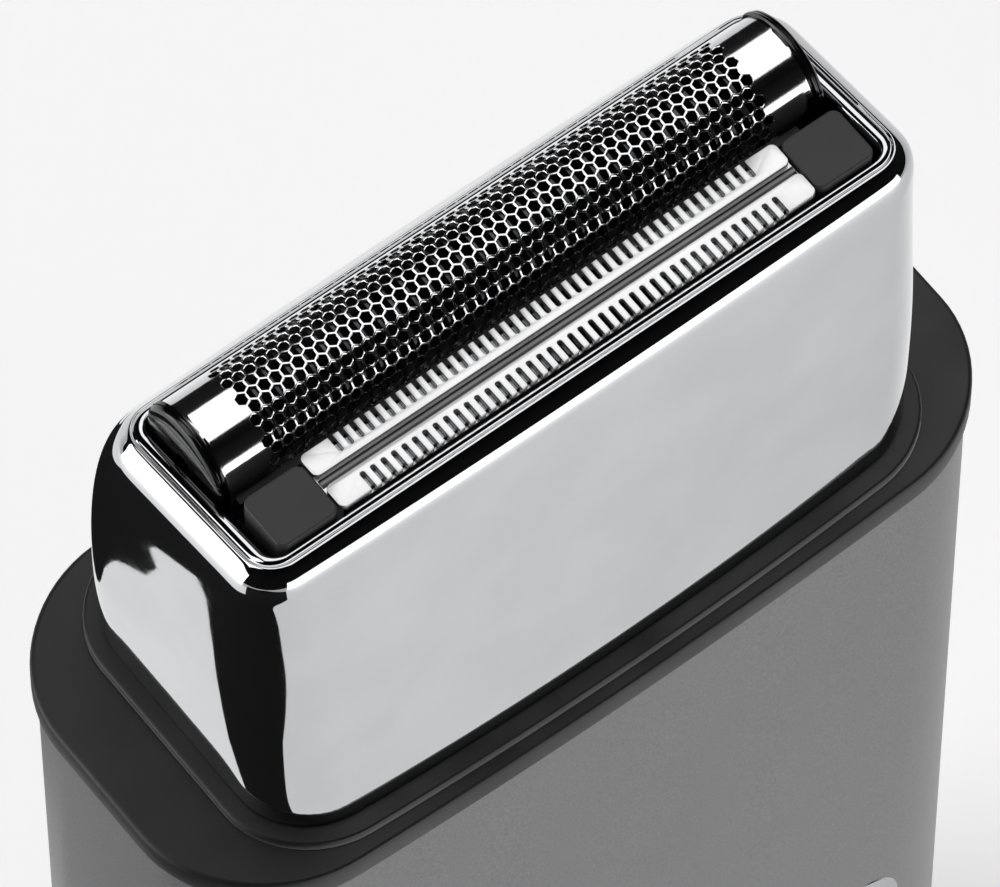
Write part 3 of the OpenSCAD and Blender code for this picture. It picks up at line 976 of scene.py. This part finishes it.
        # the section stands at the crown: from the outer face in to the foil
        bpy.ops.mesh.primitive_plane_add(size=1, location=(0, 0, 0))
        arch = bpy.context.object
        edit(arch)
        pick_all()
        bpy.ops.mesh.merge(type="CENTER")
        pick_all()
        start = Vector((lo.x, middle, crown + 0.6 * MM))
        move(start)
        for dx, dz in (
            (0.0, outer / MM - 2.1),
            (0.03, 0.6),
            (0.08, 0.35),
            (0.12, 0.16),
            (0.14, 0.04),
            (0.03, -0.08),
            (0.03, 0.0),
            (0.03, 0.1),
            (0.12, 0.07),
            (0.1, 0.0),
            (0.06, -0.1),
            (0.05, -0.25),
        ):
            extrude((dx * MM, 0, dz * MM))
        extrude((0, 0, 0))
        pick_all()
        bpy.ops.mesh.remove_doubles(threshold=0.001 * MM)
        # start the sweep on one side
        turn(HALF_PI, (0, middle, crown))
        pick_all()
        opened = bmesh.from_edit_mesh(arch.data)
        side = sum((v.co.y - middle) for v in opened.verts)
        bpy.ops.mesh.spin(
            steps=36, angle=-math.pi if side < 0 else math.pi,
            center=(0, middle, crown), axis=(-1, 0, 0),
        )
        pick("EDGE", lambda co, d: abs(co.z - crown) < 0.01 * MM)
        extrude((0, 0, lo.z - crown))
        clear()
        outward(arch)
        applied(arch, "SOLIDIFY", thickness=0.3 * MM, offset=-1)
        smooth(arch, 40)
        return settle(arch, "foil_end_arch_left")


# ---------------------------------------------------------------- the trimmer


class SHAVER_OT_trimmer(bpy.types.Operator):
    """Long-hair trimmer: slotted guard bars, moving comb and end blocks"""

    bl_idname = "shaver.trimmer"
    bl_label = "Trimmer"

    def slots(self, count, pitch, width, y0, y1, z0, z1, name):
        """A row of round-ended cutters, modelled once and repeated."""
        first = -(count - 1) / 2 * pitch
        tool = block(
            name, first - width / 2, first + width / 2, y0, y1, z0, z1,
            width / 2 * 0.98, 5,
        )
        return applied(
            tool, "ARRAY", count=count, use_relative_offset=False,
            use_constant_offset=True, constant_offset_displace=(pitch, 0, 0),
        )

    def execute(self, context):
        s = sizes()
        lo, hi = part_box("trimmer_guard")
        top, thick = hi.z, 0.5 * MM
        groove_back, groove_front = hi.y - 1.74 * MM, lo.y + 1.79 * MM
        bars = []
        for y0, y1 in ((groove_back, hi.y), (lo.y, groove_front)):
            bar = plate("bar", lo.x, hi.x, y0, y1, top - thick, 0.42 * MM, 5)
            pick_all()
            bars.append(raised(bar, thick))
        guard = joined("trimmer_guard_bars", *bars)
        skirt = block(
            "skirt", lo.x + 0.3 * MM, hi.x - 0.3 * MM, lo.y + 0.12 * MM, lo.y + 0.3 * MM,
            top - 2.0 * MM, top - 0.75 * MM,
        )
        web = block(
            "web", lo.x, hi.x, groove_front - 0.3 * MM, groove_back + 0.3 * MM,
            top - 1.1 * MM, top - thick + 0.1 * MM,
        )
        rear = self.slots(
            s.slot_count, s.slot_pitch, s.slot_width, hi.y - 1.2 * MM, hi.y + MM,
            top - MM, top + MM, "rear_slots",
        )
        front = self.slots(
            s.slot_count, s.slot_pitch, s.slot_width, lo.y - MM, lo.y + 1.3 * MM,
            top - MM, top + MM, "front_slots",
        )
        cut(guard, rear, front)
        bevelled(guard, 0.05 * MM, 2, 40)
        guard = joined("trimmer_guard_bars", guard, skirt, web)
        smooth(guard, 35)
        place(guard, "trimmer", "guard_steel", finish("guard_steel"), "trimmer_guard")
        # rounded rib between the bars, dark with painted shade of the groove
        middle = (groove_back + groove_front) / 2
        rib = rod(
            "trimmer_rib", 0, middle, top - 0.62 * MM, 0.385 * MM, hi.x - lo.x - 0.1 * MM,
            "X", 40,
        )
        edit(rib)
        pick("FACE", lambda co, n: abs(n.x) > 0.9)
        bpy.ops.mesh.inset(thickness=0.12 * MM)
        clear()
        smooth(rib, 40)
        place(rib, "trimmer", "block_grey", finish("rib_grey"))

        lo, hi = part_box("trimmer_carrier")
        end = 17.76 * MM
        base = block(
            "beam", -end - 0.2 * MM, end + 0.2 * MM, lo.y + 0.5 * MM, hi.y - 0.2 * MM, lo.z,
            lo.z + 1.5 * MM,
        )
        # room for the fork that drives the comb
        cut(base, block("fork_gap", -3 * MM, 3 * MM, lo.y + 0.8 * MM, hi.y + MM,
                        lo.z - MM, lo.z + 3 * MM))
        left = plate("block", lo.x, -end, lo.y, hi.y, lo.z, 0.6 * MM, 6)
        pick_all()
        extrude((0, 0, hi.z - lo.z))
        pick("FACE", lambda co, n: co.z > hi.z - 0.01 * MM)
        # a shallow dished top
        bpy.ops.mesh.inset(thickness=0.35 * MM)
        clear()
        outward(left)
        bevelled(left, 0.13 * MM, 3, 40)
        right = mirrored_copy(left, "block_right")
        carrier = joined("trimmer_end_blocks", left, right, base)
        smooth(carrier, 35)
        place(carrier, "trimmer", "block_grey", finish("block_grey"), "trimmer_carrier")

        lo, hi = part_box("trimmer_blade")
        comb = block("trimmer_comb", lo.x, hi.x, lo.y, hi.y, hi.z - 0.4 * MM, hi.z)
        count = int(s.slot_count * 0.92)
        teeth_back = self.slots(
            count, 0.79 * MM, 0.3 * MM, hi.y - 1.0 * MM, hi.y + MM, hi.z - MM,
            hi.z + MM, "comb_back",
        )
        teeth_front = self.slots(
            count, 0.79 * MM, 0.3 * MM, lo.y - MM, lo.y + 1.1 * MM, hi.z - MM,
            hi.z + MM, "comb_front",
        )
        cut(comb, teeth_back, teeth_front)
        middle = (lo.y + hi.y) / 2
        stem = block(
            "stem", -9 * MM, 9 * MM, middle - 0.5 * MM, middle + 0.5 * MM,
            lo.z, hi.z - 0.3 * MM,
        )
        comb = joined("trimmer_comb", comb, stem)
        smooth(comb, 30)
        place(comb, "clipper", "blade_steel", finish("blade_steel"), "trimmer_blade")
        return {"FINISHED"}


# ---------------------------------------------------------------- the case


class SHAVER_OT_case(bpy.types.Operator):
    """Two painted half shells, the base moulding and the collar deck"""

    bl_idname = "shaver.case"
    bl_label = "Case, base and collar"

    def half(self, name, lo, hi, sign, s):
        """One half of the painted shell, parted from the other near the front."""
        x_half, y_half = hi.x - 0.3 * MM, 13.8 * MM
        z0, z1 = lo.z, hi.z
        shell = case_outline(name, x_half, y_half, z0, 8.8 * MM, s.long_side_bow, 16, 17)
        extrude((0, 0, z1 - z0))
        pick_all()
        bpy.ops.mesh.bisect(
            plane_co=(0, PARTING + sign * 0.05 * MM, 0), plane_no=(0, 1, 0),
            clear_inner=sign > 0, clear_outer=sign < 0,
        )
        pick("FACE", lambda co, n: abs(n.z) > 0.9)
        bpy.ops.mesh.delete(type="FACE")
        clear()
        outward(shell)
        # recalculated normals on an open sheet follow the bulk of it; turn them out
        edit(shell)
        opened = bmesh.from_edit_mesh(shell.data)
        flow = sum(f.normal.y * f.calc_area() for f in opened.faces)
        if flow * sign < 0:
            pick_all()
            bpy.ops.mesh.flip_normals()
        clear()
        applied(shell, "SOLIDIFY", thickness=1.8 * MM, offset=-1, use_even_offset=True)
        bevelled(shell, 0.18 * MM, 3, 50)
        return shell

    def execute(self, context):
        s = sizes()
        lo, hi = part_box("front_shell")
        front = self.half("case_front", lo, hi, -1, s)
        blo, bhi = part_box("power_button")
        llo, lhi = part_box("indicator_light")
        cut(
            front,
            rod("button_hole", 0, -13 * MM, (blo.z + bhi.z) / 2, 5.7 * MM, 8 * MM, "Y", 64),
            rod("light_hole", 0, -13 * MM, (llo.z + lhi.z) / 2, 1.2 * MM, 8 * MM, "Y", 32),
        )
        rear = self.half("case_rear", lo, hi, 1, s)
        for shell, node in ((front, "front_shell"), (rear, "rear_shell")):
            smooth(settle(shell, shell.name), 30)
            place(shell, "handle", "case_grey", finish("case_grey"), node)

        lo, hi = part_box("base_cap")
        rim = 3.35 * MM
        base = case_outline(
            "base_moulding", hi.x - 0.8 * MM, hi.y - 0.8 * MM, lo.z, 7.8 * MM,
            s.long_side_bow, 16, 17,
        )
        extrude((0, 0, 0.8 * MM))
        resize((hi.x / (hi.x - 0.8 * MM), hi.y / (hi.y - 0.8 * MM), 1), (0, 0, 0.8 * MM))
        raised(base, rim - 0.8 * MM)
        cut(
            base,
            rod("jack_hole", 0, 0, 0, 3.9 * MM, 12 * MM),
            rod("screw_left", -17.5 * MM, 0, 0, 2.7 * MM, 12 * MM),
            rod("screw_right", 17.5 * MM, 0, 0, 2.7 * MM, 12 * MM),
        )
        bevelled(base, s.soft_edge, 4, 35)
        smooth(settle(base, "base_moulding"), 35)
        place(base, "handle", "base_black", finish("base_black"), "base_cap")
        self.collar(s)
        return {"FINISHED"}

    def collar(self, s):
        """The black deck: a rounded band over the case and a raised step that the
        head cap sits on."""
        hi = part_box("collar_deck")[1]
        z0, z1 = 92.0 * MM, 94.2 * MM
        deck = case_outline(
            "collar_band", hi.x - 0.35 * MM, hi.y - 0.25 * MM, z0, 9.6 * MM,
            s.long_side_bow, 18, 19,
        )
        raised(deck, z1 - z0)
        bevelled(deck, 0.35 * MM, 4, 50)
        step = case_outline(
            "collar_step", 26.1 * MM, 13.2 * MM, z1 - 0.3 * MM, 6.4 * MM,
            s.long_side_bow, 12, 17,
        )
        raised(step, hi.z - z1 + 0.3 * MM)
        bevelled(step, 0.25 * MM, 3, 50)
        tools = [
            block("deck_opening", -4.6 * MM, 4.6 * MM, -7.8 * MM, 5.4 * MM, 88 * MM,
                  98 * MM, 1.0 * MM, 6)
        ]
        for sx in (-1, 1):
            tools.append(
                block("hook_slot", sx * 21.5 * MM - 1.4 * MM, sx * 21.5 * MM + 1.4 * MM,
                      -3.3 * MM, 3.3 * MM, 88 * MM, 98 * MM)
            )
            tools.append(rod("deck_screw", sx * 17.5 * MM, 0, 93 * MM, 2.5 * MM, 8 * MM))
        for tool in tools:
            outward(tool)
            for part in (deck, step):
                applied(
                    part, "BOOLEAN", object=tool, operation="DIFFERENCE", solver="EXACT"
                )
            bpy.data.objects.remove(tool)
        for part in (deck, step):
            smooth(settle(part, part.name), 35)
            place(part, "handle", "collar_black", finish("collar_black"), "collar_deck")


CONTROLS = ("control_panel", "power_button", "indicator_light")


class SHAVER_OT_controls(bpy.types.Operator):
    """Silver control panel, dished power button and indicator light"""

    bl_idname = "shaver.controls"
    bl_label = "Panel, button and light"

    def execute(self, context):
        for name in CONTROLS:
            dress(name)
        return {"FINISHED"}


def dress(name):
    """Gives a CAD node the finish of its slot."""
    node = NODES[name]
    slot = node.data.materials[0].name
    node.data.materials[0] = finish(slot)


class SHAVER_OT_inside(bpy.types.Operator):
    """Finishes of the inner parts, which keep the frame's own shapes"""

    bl_idname = "shaver.inside"
    bl_label = "Inner parts"

    def execute(self, context):
        done = {
            *CONTROLS, "head_cap", "foil", "foil_end_left", "foil_end_right",
            "trimmer_guard", "trimmer_carrier", "trimmer_blade", "front_shell",
            "rear_shell", "base_cap", "collar_deck",
        }
        for name in sorted(set(NODES) - done):
            dress(name)
        return {"FINISHED"}


# ---------------------------------------------------------------- the studio


class SHAVER_OT_studio(bpy.types.Operator):
    """Camera, white floor, softboxes and black flags"""

    bl_idname = "shaver.studio"
    bl_label = "Studio"

    AIM = Vector((0, 0, 0.10995))
    DISTANCE = 0.69926
    AZIMUTH, ELEVATION = math.radians(-37.43), math.radians(60.47)
    SHIFT = (-0.0042, -0.0564)

    def camera(self, settings):
        azimuth, elevation = self.AZIMUTH, self.ELEVATION
        back = Vector((
            math.sin(azimuth) * math.cos(elevation),
            -math.cos(azimuth) * math.cos(elevation),
            math.sin(elevation),
        ))
        data = bpy.data.cameras.new("studio_camera")
        data.lens = settings.lens
        data.sensor_width = 36
        data.shift_x, data.shift_y = self.SHIFT
        data.clip_start, data.clip_end = 0.05, 20
        camera = bpy.data.objects.new("studio_camera", data)
        camera.location = self.AIM + back * self.DISTANCE
        camera.rotation_mode = "QUATERNION"
        camera.rotation_quaternion = (-back).to_track_quat("-Z", "Y")
        bpy.context.scene.collection.objects.link(camera)
        bpy.context.scene.camera = camera

    def softbox(self, name, at, target, width, height, power):
        """A rectangular softbox facing a point."""
        data = bpy.data.lights.new(name, "AREA")
        data.shape = "RECTANGLE"
        data.size, data.size_y, data.energy = width, height, power
        light = bpy.data.objects.new(name, data)
        light.location = at
        way = Vector(target) - Vector(at)
        light.rotation_mode = "QUATERNION"
        light.rotation_quaternion = way.to_track_quat("-Z", "Y")
        bpy.context.scene.collection.objects.link(light)

    def card(self, name, corners, material, seen):
        """A flat card through four points, not part of the shaver."""
        mesh = bpy.data.meshes.new(name)
        mesh.from_pydata([Vector(c) for c in corners], [], [range(len(corners))])
        obj = bpy.data.objects.new(name, mesh)
        bpy.context.scene.collection.objects.link(obj)
        obj.data.materials.append(material)
        obj.visible_camera = seen
        return obj

    def execute(self, context):
        settings = context.scene.shaver_studio
        self.camera(settings)
        context.scene.view_settings.view_transform = "Standard"
        world = bpy.data.worlds.new("studio_world")
        world.use_nodes = True
        world.node_tree.nodes["Background"].inputs[0].default_value = (0.9, 0.9, 0.9, 1)
        world.node_tree.nodes["Background"].inputs[1].default_value = 1.0
        context.scene.world = world

        paper, tree, shader, coords = surface(
            "white_paper_sweep",
            **{"Roughness": 0.9, "Emission Strength": 0.31,
               "Emission Color": (1, 1, 1, 1)},
        )
        tooth = noise(tree, coords, 0.8 * MM, 2.0)
        tree.links.new(
            blend_colour(tree, tooth, linear("#f6f6f6"), linear("#fbfbfb")),
            shader.inputs["Base Color"],
        )
        cloth, tree, shader, coords = surface("black_flag_cloth", **{"Roughness": 1.0})
        weave = noise(tree, coords, 1.5 * MM, 2.0)
        tree.links.new(
            blend_colour(tree, weave, linear("#050505"), linear("#0a0a0a")),
            shader.inputs["Base Color"],
        )
        far = 3.0
        self.card(
            "floor", [(-far, -far, 0), (far, -far, 0), (far, far, 0), (-far, far, 0)],
            paper, True,
        )
        # black flags close the room off, so that the bright metal has something dark
        # to mirror; they stand outside the view and only show in reflections
        reach, height = 0.9, 1.5
        ring = [
            (reach * math.cos(math.radians(a)), reach * math.sin(math.radians(a)))
            for a in range(0, 360, 30)
        ]
        for i, (x0, y0) in enumerate(ring):
            x1, y1 = ring[(i + 1) % len(ring)]
            self.card(
                f"flag_wall_{i:02d}",
                [(x0, y0, 0.02), (x1, y1, 0.02), (x1, y1, height), (x0, y0, height)],
                cloth, False,
            )
        self.card(
            "flag_roof",
            [(-1, -1, height), (1, -1, height), (1, 1, height), (-1, 1, height)],
            cloth, False,
        )
        # a ragged cloth on the floor at the left gives the head its dark stripe
        cloth_edge = (
            (-60, -36), (-66, -50), (-66, -66), (-50, -110), (-120, -300), (-600, -440),
            (-600, -40), (-150, -10), (-138, 30), (-130, 60), (-124, 100), (0, 110),
            (20, 66), (-30, 61), (-50, 58), (-59, 55.5), (-64, 53), (-68, 53.5),
            (-71, 55.5), (-74, 56), (-80, 53.5), (-75, 50.5), (-69, 47), (-63, 41),
            (-56, 32),
        )
        floor_flag = self.card(
            "flag_floor", [(x * MM, y * MM, 0.0005) for x, y in cloth_edge], cloth, False
        )
        floor_flag.visible_shadow = floor_flag.visible_diffuse = False
        for box in (
            ("overhead", (0.28, 0.2, 0.86), (0, 0, 0.11), 0.8, 1.0, settings.overhead),
            ("left_back", (-0.33, 0.17, 0.13), (-0.05, 0.0, 0.13), 0.3, 0.25,
             settings.side),
            ("left_high", (-0.46, 0.33, 0.72), (-0.025, 0.0, 0.12), 0.45, 0.45,
             settings.side_high),
            ("front_strip", (0.12, -0.36, 0.105), (0.12, 0, 0.105), 0.5, 0.2,
             settings.front_strip),
        ):
            self.softbox(*box)
        return {"FINISHED"}


def keep_from_mirrors():
    """The dark case and deck don't show in the bright head, which mirrors the
    floor down to its foot."""
    for obj in frame["bodies"]["handle"].children:
        obj.visible_glossy = obj.name == "collar_step"


class SHAVER_PT_panel(bpy.types.Panel):
    """Builds the shaver piece by piece"""

    bl_idname = "SHAVER_PT_panel"
    bl_label = "Foil shaver"
    bl_space_type = "VIEW_3D"
    bl_region_type = "UI"
    bl_category = "Shaver"

    def draw(self, context):
        for operator in STEPS:
            self.layout.operator(operator.bl_idname)
        for group in GROUPS:
            box = self.layout.box()
            settings = getattr(context.scene, group)
            for key in settings.__annotations__:
                box.prop(settings, key)


STEPS = (
    SHAVER_OT_studio,
    SHAVER_OT_head_cap,
    SHAVER_OT_foil,
    SHAVER_OT_trimmer,
    SHAVER_OT_case,
    SHAVER_OT_controls,
    SHAVER_OT_inside,
)
GROUPS = {
    "shaver_sizes": ShaverSizes,
    "shaver_colours": ShaverColours,
    "shaver_studio": StudioSettings,
}


def register():
    for group in GROUPS.values():
        bpy.utils.register_class(group)
    for operator in (*STEPS, SHAVER_PT_panel):
        bpy.utils.register_class(operator)
    for key, group in GROUPS.items():
        setattr(bpy.types.Scene, key, PointerProperty(type=group))


def unregister():
    for key in GROUPS:
        delattr(bpy.types.Scene, key)
    for operator in (SHAVER_PT_panel, *reversed(STEPS)):
        bpy.utils.unregister_class(operator)
    for group in GROUPS.values():
        bpy.utils.unregister_class(group)


def main():
    register()
    bpy.ops.shaver.studio()
    bpy.ops.shaver.head_cap()
    bpy.ops.shaver.foil()
    bpy.ops.shaver.trimmer()
    bpy.ops.shaver.case()
    bpy.ops.shaver.controls()
    bpy.ops.shaver.inside()
    keep_from_mirrors()
    clear()


if __name__ == "__main__":
    main()
